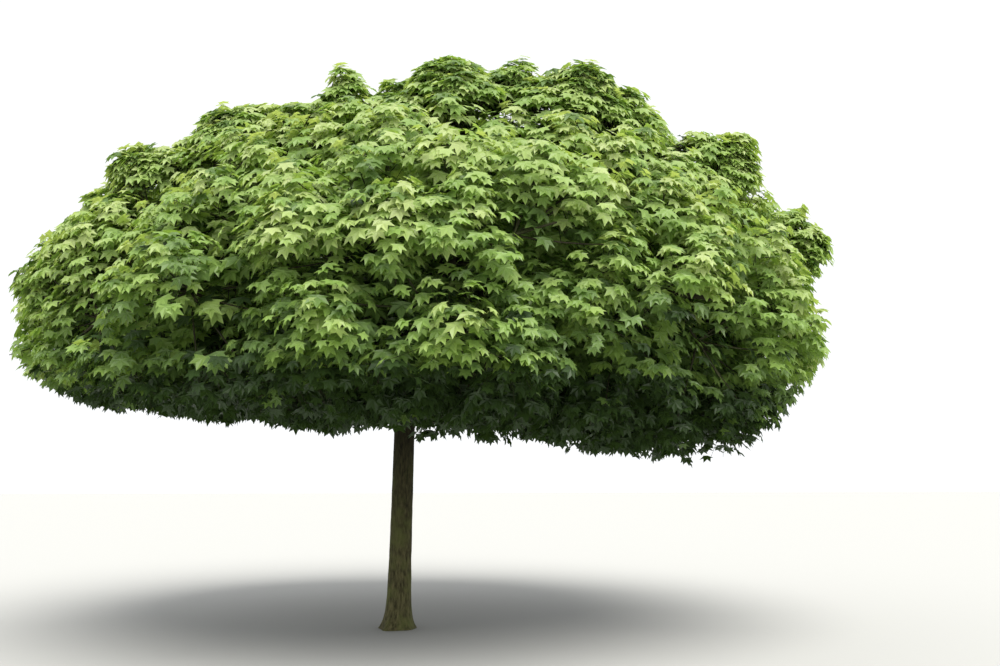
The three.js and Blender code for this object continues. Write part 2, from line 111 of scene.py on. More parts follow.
GAPS = [  # azimuth, height, width of the hollows between clumps, with painted shade on the leaves round them
    (-116, 3.02, 0.30), (-126, 2.48, 0.36), (-89, 2.84, 0.24), (-98, 2.84, 0.24), (-62, 2.62, 0.34),
    (-55, 2.87, 0.30), (-79, 3.48, 0.22), (-67, 2.28, 0.36), (-114, 2.26, 0.28), (-99, 3.72, 0.22),
    (-136, 2.95, 0.30), (-142, 2.35, 0.34), (-50, 3.35, 0.26), (-48, 2.45, 0.36), (-108, 3.45, 0.22),
    (-84, 2.30, 0.24), (-72, 3.05, 0.20), (-122, 3.50, 0.24),
]

# Leaves: their sizes, how far they may stand out of the crown's surface, and how they hang
LEAVES = {"nodes": 2, "size": 0.136, "size_sway": 0.24, "size_old": 1.06, "size_less": 0.2,
          "stalk": 0.060, "stalk_range": (0.7, 1.35), "stalk_old": 1.25, "stalk_less": 0.5,
          "stalk_width": 0.0016, "curl": 0.20, "curl_range": (0.3, 1.8),
          "proud": 0.016, "proud_sway": 0.005, "loose": 0.38, "tested_at": (0.05, 0.6)}
INNER = {"nodes": 2, "size": 0.17, "heart_size": 0.25, "large": 0.18, "under": 0.8}
TURN = {"sway": 0.35, "above": 0.6, "along": 0.45, "end_along": 1.3, "end_out": 0.2, "up": 0.12}
HANG = {"level": (1, 1, 0.3), "away": 0.6,
        "normal_up": 0.90, "normal_flat": 0.45, "normal_away": 0.45, "normal_sway": 0.17,
        "axis_out": 0.4, "axis_away": 0.5, "axis_flat": 0.45, "axis_down": 0.8, "axis_sway": 0.20}
DISH = {"rise": 0.35, "fall": 1.9}  # how the blade's middle rises and its lobes' tips bend down

# Half of the five-lobed blade, from its tip round to its stalk: degrees and reach from the stalk
BLADE = [(0, 0.70), (25, 0.40), (49, 0.66), (78, 0.34), (106, 0.50), (180, 0.10)]

# Leaf colours, from painted shade on the underside to painted light on top, and how they are dealt
LIGHT_AND_SHADE_TINTS = [
    (0.038, 0.070, 0.022),
    (0.128, 0.208, 0.058),
    (0.220, 0.332, 0.088),
    (0.280, 0.388, 0.118),
    (0.336, 0.430, 0.154),
    (0.396, 0.470, 0.200),
]
TINT_LIMITS = [0.13, 0.30, 0.50, 0.72, 0.90]  # the share of all leaves that lies under each step
# Painted light and shade: every weight but luck makes a leaf lighter or darker by where light falls on the
# crown
LIGHT_SHADE_AND_LUCK_WEIGHTS = {"height": 1.05, "facing": 0.55, "depth": 2.6, "luck": 0.36, "skirt": 0.42,
                "sideways": 0.35, "below": 1.9, "gap": 1.9}
TINT_SWAY = 0.35  # how far the leaves of one spray differ
GAP_SHADE_SPARED = -0.1  # clumps less deep than this get no painted shade in the gaps
SKIRT_SHADE = {"from": 2.8, "over": 0.8, "least": -1.3, "most": 0.5}  # painted shade, darker under this height
UNDERSIDE_SHADE = {"steep": 1.8, "from": 0.3, "height": 2.35}  # painted shade, darker where the crown faces down
GLOW = {"tint": (1.5, 1.55, 0.75), "share": 0.36}  # the light that comes through a leaf
CROWN_SHADE_HEIGHTS = (0.3, 2.0)  # heights between which the bark darkens, as painted shade under the crown

# Tubes of the stems and twigs
STEM_TUBE = {"points": 12, "sides": 10}
SHOOT_TUBE = {"points": 6, "sides": 5, "reach": 0.8, "bow": 0.05, "fork": 3, "base": 0.017, "tip": 0.009}
LEADER_TUBE = {"points": 5, "sides": 4, "bow": -0.04, "base": 0.009, "tip": 0.004}
SPRAY_TUBE = {"sides": 3, "base": 0.0036, "tip": 0.0018}

# Stage
FLOOR = {"reach": 60, "colour": (0.40, 0.40, 0.39)}
SKY = {"colour": (0.97, 0.985, 1.0), "strength": 1.08}
SUN = {"colour": (1.0, 0.98, 0.92), "strength": 5.1, "softness": 50, "turn": (32, 10, 0)}

UP = np.array([0.0, 0.0, 1.0])
GOLDEN = math.pi * (3 - math.sqrt(5))
MASS_NODES = [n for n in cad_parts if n.startswith("crown")]


# Small maths on rows of vectors

def unit(rows):
    return rows / np.maximum(np.linalg.norm(rows, axis=-1, keepdims=True), 1e-9)


def dot(a, b):
    return np.sum(a * b, axis=-1, keepdims=True)


def square_to(rows, normals):
    """The part of each row that lies square to its normal, one unit long."""
    return unit(rows - dot(rows, normals) * normals)


def heading(azimuth, rise):
    a, r = math.radians(azimuth), math.radians(rise)
    return np.array([math.cos(r) * math.cos(a), math.cos(r) * math.sin(a), math.sin(r)])


def seeded(seed):
    """The same numbers between 0 and 1 as the solids' rule draws."""
    state = int(seed) & 0xFFFFFFFF

    def draw():
        nonlocal state
        state = (state + 0x6D2B79F5) & 0xFFFFFFFF
        t = ((state ^ (state >> 15)) * (1 | state)) & 0xFFFFFFFF
        t = ((t + (t ^ (t >> 7)) * (61 | t)) & 0xFFFFFFFF) ^ t
        return ((t ^ (t >> 14)) & 0xFFFFFFFF) / 4294967296

    return draw


# Meshes from arrays

def mesh_piece(name, vertices, triangles, material, smooth=True):
    mesh = bpy.data.meshes.new(name)
    mesh.vertices.add(len(vertices))
    mesh.vertices.foreach_set("co", np.asarray(vertices, dtype=np.float32).ravel())
    mesh.loops.add(len(triangles) * 3)
    mesh.loops.foreach_set("vertex_index", np.asarray(triangles, dtype=np.int32).ravel())
    mesh.polygons.add(len(triangles))
    mesh.polygons.foreach_set("loop_start", np.arange(len(triangles), dtype=np.int32) * 3)
    mesh.polygons.foreach_set("use_smooth", np.full(len(triangles), smooth))
    mesh.materials.append(material)
    mesh.update(calc_edges=True)
    piece = bpy.data.objects.new(name, mesh)
    bpy.context.scene.collection.objects.link(piece)
    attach(piece, "root")
    return piece


def tube_rows(paths, radii, sides):
    """Vertices and triangles of many tubes: paths is (tubes, points, 3), radii (tubes, points)."""
    tubes, points = radii.shape
    tangents = unit(np.gradient(paths, axis=1))
    chord = unit(paths[:, -1] - paths[:, 0])
    across = np.where(np.abs(chord[:, 2:]) < 0.9, UP, np.array([1.0, 0.0, 0.0]))[:, None, :]
    side = unit(np.cross(np.broadcast_to(across, tangents.shape), tangents))
    other = np.cross(side, tangents)
    turns = np.arange(sides) * 2 * math.pi / sides
    ring = (side[:, :, None] * np.cos(turns)[:, None] + other[:, :, None] * np.sin(turns)[:, None])
    vertices = paths[:, :, None] + ring * radii[:, :, None, None]
    first = np.arange(tubes)[:, None, None] * points * sides
    along = np.arange(points - 1)[None, :, None] * sides
    a = first + along + np.arange(sides)
    b = first + along + (np.arange(sides) + 1) % sides
    triangles = np.stack([a, a + sides, b, b, a + sides, b + sides], axis=-1).reshape(-1, 3)
    return vertices.reshape(-1, 3), triangles


# The crown's surface and the space of each mass

crown_centre = np.array([CROWN["x"], 0.0, CROWN["z"]])


def crown_level(points):
    """Under 1 inside the crown's plain outline, over 1 outside it."""
    p = points - crown_centre
    x = p[..., 0] - CROWN["lean"] * p[..., 2]
    y = p[..., 1]
    z = p[..., 2] - CROWN["skew"] * x
    ring = np.hypot(x / CROWN["reach_x"], y / CROWN["reach_y"])
    azimuth = np.degrees(np.arctan2(y, x))
    low = heading(SAG["azimuth"], 0) * SAG["radius"]
    sag = SAG["depth"] * np.exp(-((np.hypot(x - low[0], y - low[1]) / SAG["width"]) ** 2))
    drop = CROWN["drop"] + CROWN["tilt"] * np.cos(np.radians(azimuth - CROWN["tilt_azimuth"])) + sag
    power = np.where(z >= 0, CROWN["peak"], CROWN["boxiness"])
    height = np.where(z >= 0, z / CROWN["rise"], -z / drop)
    return (ring ** power + height ** power) ** (1 / power)


def all_tufts():
    """Each tuft's axis, stand and width: those that the photo shows and those of the rest."""
    draw = seeded(SEEDS["tufts"])
    between = lambda low, high: low + draw() * (high - low)
    rows = list(TUFTS)
    for i in range(MORE_TUFTS["count"]):
        azimuth = MORE_TUFTS["from"] + (i + (draw() - 0.5) * MORE_TUFTS["sway"]) * MORE_TUFTS["turn"]
        radius = between(MORE_TUFTS["near"], MORE_TUFTS["far"])
        rows.append((azimuth, radius, between(*MORE_TUFTS["stand"]), between(*MORE_TUFTS["width"])))
    return [(crown_centre + heading(row[0], 0) * row[1], row[2], row[3]) for row in rows]


tufts = all_tufts()


def tuft_lift(points):
    """How far the tufts lift the crown's surface over each point, as a share of its reach."""
    lift = np.zeros(points.shape[:-1])
    for axis, stand, width in tufts:
        away = np.hypot(points[..., 0] - axis[0], points[..., 1] - axis[1])
        lift = np.maximum(lift, stand * np.exp(-((away / width) ** 2)))
    reach = np.linalg.norm(points - crown_centre, axis=-1)
    return np.where(points[..., 2] < crown_centre[2], 0, lift / np.maximum(reach, 0.1))


def mass_hubs():
    """Each mass of foliage: its name, its hub and how steeply its limb rises."""
    draw = seeded(SEEDS["masses"])
    sway = lambda size: (draw() * 2 - 1) * size
    masses = []
    for name, count, turn, radius, height, rise in TIERS:
        for i in range(count):
            azimuth = turn + 360 / count * i + sway(TIER_SWAY["azimuth"])
            out = radius and radius + sway(TIER_SWAY["radius"])
            hub = crown_centre + heading(azimuth, 0) * out
            hub[2] += height + sway(TIER_SWAY["height"])
            masses.append({"name": f"{name}_{i + 1}" if count > 1 else name, "hub": hub, "rise": rise})
    return masses


masses = mass_hubs()
hubs = np.array([mass["hub"] for mass in masses])


def wall_distance(points):
    """How far each point is inside the flat walls of the mass that it lies in."""
    squares = np.sum((points[:, None] - hubs) ** 2, axis=-1)
    own = np.argmin(squares, axis=1)
    rows = np.arange(len(points))
    spans = 2 * np.linalg.norm(hubs[own][:, None] - hubs, axis=-1)
    gaps = (squares - squares[rows, own][:, None]) / np.maximum(spans, 1e-6)
    gaps[rows, own] = np.inf
    return np.min(gaps, axis=1), own


def surface_level(points):
    """The level of the crown's real surface, with its furrows and tufts, out past each point."""
    wall, _ = wall_distance(points)
    furrow = CROWN["valley"] * np.exp(-((wall / CROWN["valley_width"]) ** 2))
    return 1 - furrow + tuft_lift(at_level(points, 1))


def at_level(points, level):
    """The points moved out or in from the crown's centre, to a level."""
    return crown_centre + (points - crown_centre) * (level / crown_level(points))[..., None]


def facing_at(points):
    """Which way the crown's plain surface faces over each point."""
    step = 1e-3
    slopes = [crown_level(points + step * axis) - crown_level(points) for axis in np.eye(3)]
    return unit(np.stack(slopes, axis=-1))


def on_dome(places):
    """Points of the dome's plain surface over places given by their x and y."""
    x, y = places[:, 0] - CROWN["x"], places[:, 1]
    height = np.zeros(len(places))
    rim = 0.995
    for _ in range(5):  # each round settles the dome's lean further
        level_x = x - CROWN["lean"] * height
        ring = np.hypot(level_x / CROWN["reach_x"], y / CROWN["reach_y"])
        dome = (1 - np.minimum(ring, rim) ** CROWN["peak"]) ** (1 / CROWN["peak"])
        height = CROWN["rise"] * dome + CROWN["skew"] * level_x
    return np.column_stack([places[:, :2], CROWN["z"] + height])


def on_side(azimuth, height):
    """The point of the crown's plain surface at an azimuth and about a height."""
    place = heading(azimuth, 0) * CROWN["reach_x"] + UP * (height - CROWN["z"])
    return at_level((crown_centre + place)[None], 1)[0]


def spiral(count, crowding):
    """Points spread over the crown's surface, the open heart of its underside left out."""
    i = np.arange(count)
    z = 1 - 2 * ((i + 0.5) / count) ** crowding
    ring = np.sqrt(1 - z * z)
    outward = np.stack([ring * np.cos(i * GOLDEN) * CROWN["reach_x"],
                        ring * np.sin(i * GOLDEN) * CROWN["reach_y"], z * CROWN["rise"]], axis=-1)
    points = at_level(crown_centre + outward, 1)
    from_middle = np.hypot(points[:, 0] - CROWN["x"], points[:, 1])
    return points[(z > 0) | (from_middle > CROWN["heart"] * CROWN["reach_x"])]


# Limbs

trunk_head = np.array([TRUNK["lean"] * TRUNK["head"], 0.0, TRUNK["head"]])


def limb_points(mass, t):
    """Points along a mass's limb, which runs from the knuckle to its hub."""
    span = mass["hub"] - trunk_head
    aim = math.degrees(math.atan2(span[1], span[0]))
    bend = trunk_head + heading(aim, mass["rise"]) * np.linalg.norm(span) * LIMB["bend"]
    t = np.asarray(t)[..., None]
    return (1 - t) ** 2 * trunk_head + 2 * t * (1 - t) * bend + t ** 2 * mass["hub"]


def entry_of(mass):
    """Where a limb enters its mass's space, which is where its bough ends."""
    step = 0.01
    t = np.linspace(0, 1, 101)
    inside = crown_level(limb_points(mass, t)) > CROWN["hollow"]
    return t[np.argmax(inside)] + step


for mass in masses:
    mass["entry"] = entry_of(mass)


def limb_radius(t):
    return LIMB["base"] + (LIMB["tip"] - LIMB["base"]) * np.asarray(t)


# Materials

def new_material(name):
    material = bpy.data.materials.new(name)
    material.use_nodes = True
    material.node_tree.nodes.clear()
    return material, material.node_tree.nodes, material.node_tree.links


def leaf_material(index, colour):
    """A leaf: a soft sheen above, and light that comes through it."""
    material, nodes, links = new_material(f"leaf_light_and_shade_{index + 1}")
    out = nodes.new("ShaderNodeOutputMaterial")
    mix = nodes.new("ShaderNodeMixShader")
    blade = nodes.new("ShaderNodeBsdfPrincipled")
    glow = nodes.new("ShaderNodeBsdfTranslucent")
    blade.inputs["Base Color"].default_value = (*colour, 1)
    blade.inputs["Roughness"].default_value = 0.42
    blade.inputs["Specular IOR Level"].default_value = 0.4
    through = [min(1.0, c * f) for c, f in zip(colour, GLOW["tint"])]
    glow.inputs["Color"].default_value = (*through, 1)
    mix.inputs["Fac"].default_value = GLOW["share"]
    links.new(blade.outputs["BSDF"], mix.inputs[1])
    links.new(glow.outputs["BSDF"], mix.inputs[2])
    links.new(mix.outputs["Shader"], out.inputs["Surface"])
    return material


def bark_material(name, low, high, moss, scale, shade_share=1.0):
    """Fine upright ridges, with darker cracks and green patches of algae. The whole tone darkens
    with height as painted shade under the crown, down to the share that the last argument gives."""
    material, nodes, links = new_material(name)
    out = nodes.new("ShaderNodeOutputMaterial")
    bark = nodes.new("ShaderNodeBsdfPrincipled")
    place = nodes.new("ShaderNodeTexCoord")
    stretch = nodes.new("ShaderNodeMapping")
    stretch.inputs["Scale"].default_value = (1, 1, 0.22)
    links.new(place.outputs["Object"], stretch.inputs["Vector"])
    ridges = nodes.new("ShaderNodeTexNoise")
    ridges.inputs["Scale"].default_value = scale
    ridges.inputs["Detail"].default_value = 8
    ridges.inputs["Roughness"].default_value = 0.68
    links.new(stretch.outputs["Vector"], ridges.inputs["Vector"])
    tone = nodes.new("ShaderNodeValToRGB")
    tone.color_ramp.elements[0].position = 0.36
    tone.color_ramp.elements[0].color = (*low, 1)
    tone.color_ramp.elements[1].position = 0.68
    tone.color_ramp.elements[1].color = (*high, 1)
    links.new(ridges.outputs["Fac"], tone.inputs["Fac"])
    patches = nodes.new("ShaderNodeTexNoise")
    patches.inputs["Scale"].default_value = 5.5
    patches.inputs["Detail"].default_value = 5
    links.new(place.outputs["Object"], patches.inputs["Vector"])
    cover = nodes.new("ShaderNodeValToRGB")
    cover.color_ramp.elements[0].position = 0.46
    cover.color_ramp.elements[0].color = (0, 0, 0, 1)
    cover.color_ramp.elements[1].position = 0.66
    cover.color_ramp.elements[1].color = (0.75, 0.75, 0.75, 1)
    links.new(patches.outputs["Fac"], cover.inputs["Fac"])
    blend = nodes.new("ShaderNodeMix")
    blend.data_type = "RGBA"
    blend.inputs["B"].default_value = (*moss, 1)
    links.new(cover.outputs["Color"], blend.inputs["Factor"])
    links.new(tone.outputs["Color"], blend.inputs["A"])
    parts = nodes.new("ShaderNodeSeparateXYZ")
    links.new(place.outputs["Object"], parts.inputs["Vector"])
    # Painted shade under the crown: the tone darkens with height
    crown_shade = nodes.new("ShaderNodeMapRange")
    crown_shade.inputs["From Min"].default_value = CROWN_SHADE_HEIGHTS[0]
    crown_shade.inputs["From Max"].default_value = CROWN_SHADE_HEIGHTS[1]
    crown_shade.inputs["To Min"].default_value = 1.0
    crown_shade.inputs["To Max"].default_value = shade_share
    links.new(parts.outputs["Z"], crown_shade.inputs["Value"])
    shaded_tone = nodes.new("ShaderNodeMix")
    shaded_tone.data_type = "RGBA"
    shaded_tone.blend_type = "MULTIPLY"
    shaded_tone.inputs["Factor"].default_value = 1.0
    links.new(blend.outputs["Result"], shaded_tone.inputs["A"])
    links.new(crown_shade.outputs["Result"], shaded_tone.inputs["B"])
    links.new(shaded_tone.outputs["Result"], bark.inputs["Base Color"])
    relief = nodes.new("ShaderNodeBump")
    relief.inputs["Strength"].default_value = 0.7
    relief.inputs["Distance"].default_value = 0.006
    links.new(ridges.outputs["Fac"], relief.inputs["Height"])
    links.new(relief.outputs["Normal"], bark.inputs["Normal"])
    bark.inputs["Roughness"].default_value = 0.9
    bark.inputs["Specular IOR Level"].default_value = 0.2
    links.new(bark.outputs["BSDF"], out.inputs["Surface"])
    return material


# The trunk's bark darkens towards its head: painted shade under the crown
trunk_bark = bark_material("trunk_bark", low=(0.036, 0.033, 0.014), high=(0.176, 0.160, 0.072),
                           moss=(0.135, 0.152, 0.046), scale=46, shade_share=0.20)
bough_bark = bark_material("bough_bark", low=(0.018, 0.016, 0.011), high=(0.070, 0.062, 0.044),
                           moss=(0.050, 0.055, 0.028), scale=70)
twig_bark = bark_material("twig_bark", low=(0.020, 0.018, 0.010), high=(0.050, 0.046, 0.024),
                          moss=(0.045, 0.055, 0.020), scale=90)
leaf_materials = [leaf_material(i, colour) for i, colour in enumerate(LIGHT_AND_SHADE_TINTS)]


# Trunk with its bark's relief

def trunk_radius(height):
    return (TRUNK["waist"] + TRUNK["foot"] * math.exp(-height / TRUNK["foot_reach"])
            + TRUNK["knuckle"] * math.exp(-(((height - TRUNK["head"]) / TRUNK["knuckle_reach"]) ** 2)))


def root_swell(height, azimuth):
    """How far the root flare stands out of the trunk's plain taper."""
    turn = lambda a: abs((azimuth - a + 180) % 360 - 180)
    swells = sum(swell * math.exp(-((turn(a) / width) ** 2)) for a, swell, width in ROOTS)
    return math.exp(-height / TRUNK["flare_reach"]) * (TRUNK["flare"] + swells)


def bark_relief(point, ridges, depth):
    """Upright ridges that wander and break up, as a height over the plain skin."""
    wander = noise.noise(point * RELIEF["wander_scale"]) * RELIEF["wander"]
    tall = Vector((point.x, point.y, point.z * RELIEF["stretch"] + wander * RELIEF["wander_share"]))
    rough = noise.fractal(tall * ridges, RELIEF["roughness"], RELIEF["step"], RELIEF["octaves"])
    return depth * (rough + RELIEF["swell"] * noise.noise(point * ridges * RELIEF["swell_scale"]))


def trunk_piece():
    """The trunk, ring by ring from its flat foot, with a low dome over its head."""
    sides, rings, dome_step = TRUNK_SKIN["sides"], TRUNK_SKIN["rings"], TRUNK_SKIN["dome_step"]
    profile = []
    for i in range(rings + 1):
        height = TRUNK["head"] * (i / rings) ** TRUNK_SKIN["crowding"]
        profile.append((trunk_radius(height), height))
    for angle in range(dome_step, 90, dome_step):
        a = math.radians(angle)
        level = TRUNK["head"] + TRUNK["dome"] * math.sin(a)
        profile.append((trunk_radius(TRUNK["head"]) * math.cos(a), level))
    vertices = []
    for radius, height in profile:
        for s in range(sides):
            azimuth = 360 * s / sides
            a = math.radians(azimuth)
            plain = Vector((math.cos(a) * radius, math.sin(a) * radius, height))
            relief = bark_relief(plain, TRUNK_SKIN["ridges"], TRUNK_SKIN["depth"])
            full = radius + root_swell(height, azimuth) + relief
            if height == 0:
                full -= TRUNK_SKIN["tuck"]
            vertices.append((math.cos(a) * full + TRUNK["lean"] * height, math.sin(a) * full, height))
    top = TRUNK["head"] + TRUNK["dome"]
    vertices.append((TRUNK["lean"] * top, 0, top))
    vertices.append((0, 0, 0))
    triangles = []
    for ring in range(len(profile) - 1):
        for s in range(sides):
            a = ring * sides + s
            b = ring * sides + (s + 1) % sides
            triangles += [(a, b, a + sides), (b, b + sides, a + sides)]
    last = (len(profile) - 1) * sides
    for s in range(sides):
        triangles.append((last + s, last + (s + 1) % sides, len(vertices) - 2))
        triangles.append(((s + 1) % sides, s, len(vertices) - 1))
    piece = mesh_piece("trunk_with_bark", vertices, triangles, trunk_bark)
    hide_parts("trunk")


# Boughs, and the stems that carry on from them inside the masses

def bough_piece(mass):
    t = np.linspace(0.0, mass["entry"], BOUGH_SKIN["points"])
    path = limb_points(mass, t)
    radii = limb_radius(t)
    vertices, triangles = tube_rows(path[None], radii[None], BOUGH_SKIN["sides"])
    centres = np.repeat(path, BOUGH_SKIN["sides"], axis=0)
    outward = unit(vertices - centres)
    height = [bark_relief(Vector(v), BOUGH_SKIN["ridges"], BOUGH_SKIN["depth"]) for v in vertices]
    vertices = vertices + outward * np.array(height)[:, None]
    name = mass["name"].replace("crown", "bough")
    piece = mesh_piece(name + "_with_bark", vertices, triangles, bough_bark)
    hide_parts(name)


def curved_paths(starts, ends, bow, points):
    """Paths from starts to ends that bow up at their middle, or down where bow is under 0."""
    t = np.linspace(0, 1, points)[None, :, None]
    middle = (starts + ends) / 2 + np.array([0, 0, bow])
    return ((1 - t) ** 2 * starts[:, None] + 2 * t * (1 - t) * middle[:, None] + t ** 2 * ends[:, None])


def shoot_twigs():
    """The solids' shoots: where each twig starts on its mass's stem, and its tip."""
    surface = spiral(SHOOTS["count"], SHOOTS["crowding"])
    surface = np.vstack([surface, on_dome(np.array([axis for axis, _, _ in tufts]))])
    _, own = wall_distance(surface)
    tips = at_level(surface, surface_level(surface) - SHOOTS["depth"])
    for _ in range(SHOOTS["rounds"]):
        wall, _ = wall_distance(tips)
        near = wall < SHOOTS["inset"]
        surface[near] += SHOOTS["pull"] * (hubs[own[near]] - surface[near])
        tips = at_level(surface, surface_level(surface) - SHOOTS["depth"])
    starts = []
    for index, mass_index in enumerate(own):
        mass = masses[mass_index]
        share = SHOOTS["first"] + SHOOTS["spread"] * seeded(index)()
        starts.append(limb_points(mass, mass["entry"] + (1 - mass["entry"]) * share))
    return np.array(starts), tips


# Clumps: each is an umbrella of sprays round a short leading twig

def clumps_at(surface, kind, depth, outward, rng):
    """Clumps whose heads lie at a depth under the crown's surface, and which lean outward and up."""
    count = len(surface)
    apex = at_level(surface, surface_level(surface) - depth)
    facing = facing_at(apex)
    skyward = CLUMP_AXIS["upward"] + CLUMP_AXIS["upward_on_top"] * facing[:, 2:]
    skyward = np.clip(skyward, CLUMP_AXIS["upward_least"], 1)
    axis = unit(outward * facing + skyward * UP + rng.normal(0, CLUMP_AXIS["sway"], (count, 3)))
    width = kind["width"] * (1 + kind["width_sway"] * rng.uniform(-1, 1, count))
    return {"apex": apex, "axis": axis, "facing": facing, "width": width, "depth": depth}


def waves_at(points):
    """Slow waves over the crown from about -1 to 1, wider than they are high."""
    scale = (WAVES["across"], WAVES["across"], WAVES["up"])
    return np.array([noise.noise(Vector(point * scale)) * 2 for point in points])


def grow_clumps(kind, rng):
    """Clumps spread over the crown, with none in its gaps unless they are deep ones."""
    surface = spiral(kind["count"], kind["crowding"])
    surface = surface + rng.normal(0, CLUMP_SPREAD["jitter"], surface.shape)
    if kind["depth"] < CLUMP_SPREAD["deep"]:
        for azimuth, height, width in GAPS:
            surface = surface[np.linalg.norm(surface - on_side(azimuth, height), axis=1) > width]
    luck = rng.random(len(surface)) ** 2 * CLUMP_SPREAD["depth_span"] - CLUMP_SPREAD["depth_less"]
    depth = kind["depth"] + kind["depth_sway"] * luck
    depth = depth + WAVES["depth"] * np.clip(waves_at(surface), WAVES["least"], WAVES["most"])
    return clumps_at(surface, kind, depth, CLUMP_AXIS["outward"], rng)


def outstanding_clumps(rng):
    """The boldest clumps, with painted light: their leaves are dealt the lightest tints."""
    surface = np.array([on_side(azimuth, height) for azimuth, height, _ in OUTSTANDING])
    depth = np.full(len(surface), BOLD_CLUMPS["depth"])
    clumps = clumps_at(surface, BOLD_CLUMPS, depth, CLUMP_AXIS["outward"], rng)
    clumps["width"] = np.array([width for _, _, width in OUTSTANDING])
    clumps["depth"] = np.full(len(surface), BOLD_CLUMPS["shade_depth"])
    return clumps


def tuft_clumps(rng):
    """Small clumps that fill each tuft."""
    places = []
    for axis, _, width in tufts:
        count = round((width / TUFT_CLUMPS["spacing"]) ** 2 * TUFT_CLUMPS["crowd"])
        for _ in range(max(TUFT_CLUMPS["least"], count)):
            offset = rng.uniform(-1, 1, 2) * width * TUFT_CLUMPS["reach"]
            places.append(axis[:2] + offset)
    surface = on_dome(np.array(places))
    depth = TUFT_CLUMPS["depth"] * rng.uniform(*TUFT_CLUMPS["depth_range"], len(surface))
    return clumps_at(surface, TUFT_CLUMPS, depth, CLUMP_AXIS["outward_in_tufts"], rng)


def leading_shoots(rng):
    """The upright shoots that make each tuft stand out of the dome."""
    places = []
    for axis, _, width in tufts:
        for k in range(max(LEADERS["least"], round(width / LEADERS["spacing"]))):
            places.append(axis[:2] + rng.normal(0, LEADERS["spread"] * width, 2) * (k > 0))
    surface = on_dome(np.array(places))
    sunk = LEADERS["sunk"] + LEADERS["sunk_sway"] * rng.random(len(surface)) ** 2
    tip = at_level(surface, surface_level(surface) - sunk)
    facing = facing_at(tip)
    axis = unit(LEADERS["outward"] * facing + UP + rng.normal(0, LEADERS["sway"], tip.shape))
    length = LEADERS["length"] * rng.uniform(*LEADERS["length_range"], len(tip))[:, None]
    return {"start": tip - axis * length, "tip": tip, "facing": facing, "out": np.zeros_like(tip),
            "height": np.full(len(tip), LEADERS["height"]),
            "depth": np.full(len(tip), LEADERS["shade_depth"])}


def climb_of(points):
    """How steeply each point lies over the crown's middle: 0 at its side or below it, 1 on top."""
    return np.clip(unit(points - crown_centre)[:, 2], 0, 1)


def ends_of(points):
    """How far the leaves stand out at the crown's two ends, where they follow the photo's outline:
    further out at the upper right, and further in at the left, most of all low down."""
    side = unit(points - crown_centre)[:, 0] ** 3
    low = np.clip((ENDS["low_from"] - points[:, 2]) / ENDS["low_over"], 0, 1)
    return ENDS["proud"] * (side - np.abs(side) * low)


def held_in(points, sunk):
    """The points, with those past the crown's surface brought back under it, more so on top."""
    held = sunk * (HOLD["side"] + HOLD["top"] * climb_of(points))
    most = surface_level(points) - held + ends_of(points)
    return np.where((crown_level(points) > most)[:, None], at_level(points, most), points)


def sprays_of(clumps, kind, rng):
    """The sprays of each clump: where each leaves its leading twig, and its tip."""
    count, each = len(clumps["apex"]), kind["sprays"]
    j = np.arange(each)
    spread = np.sqrt((j + SPRAYS["first"]) / each)[None, :] * rng.uniform(*SPRAYS["spread"], (count, each))
    turn = j[None, :] * GOLDEN + rng.uniform(0, 2 * math.pi, (count, 1))
    axis = clumps["axis"][:, None, :]
    askew = np.array([0.3, 0.2, 1.0])
    side = square_to(np.cross(axis, askew + 0 * axis), axis)
    other = np.cross(axis, side)
    out = side * np.cos(turn)[..., None] + other * np.sin(turn)[..., None]
    width = clumps["width"][:, None]
    fall = (kind["droop"] * spread ** 2 * width)[..., None]
    tips = clumps["apex"][:, None] + out * (spread * width)[..., None] - axis * fall
    tips = tips + rng.normal(0, SPRAYS["sway"], tips.shape)
    depth = kind["stem"] * rng.uniform(*SPRAYS["stem"], (count, each))[..., None]
    starts = clumps["apex"][:, None] - axis * (depth + fall * SPRAYS["fall"])
    return {"start": starts.reshape(-1, 3), "tip": held_in(tips.reshape(-1, 3), kind["sunk"]),
            "facing": np.repeat(clumps["facing"], each, axis=0), "out": out.reshape(-1, 3),
            "height": 1 - spread.ravel(), "depth": np.repeat(clumps["depth"], each)}


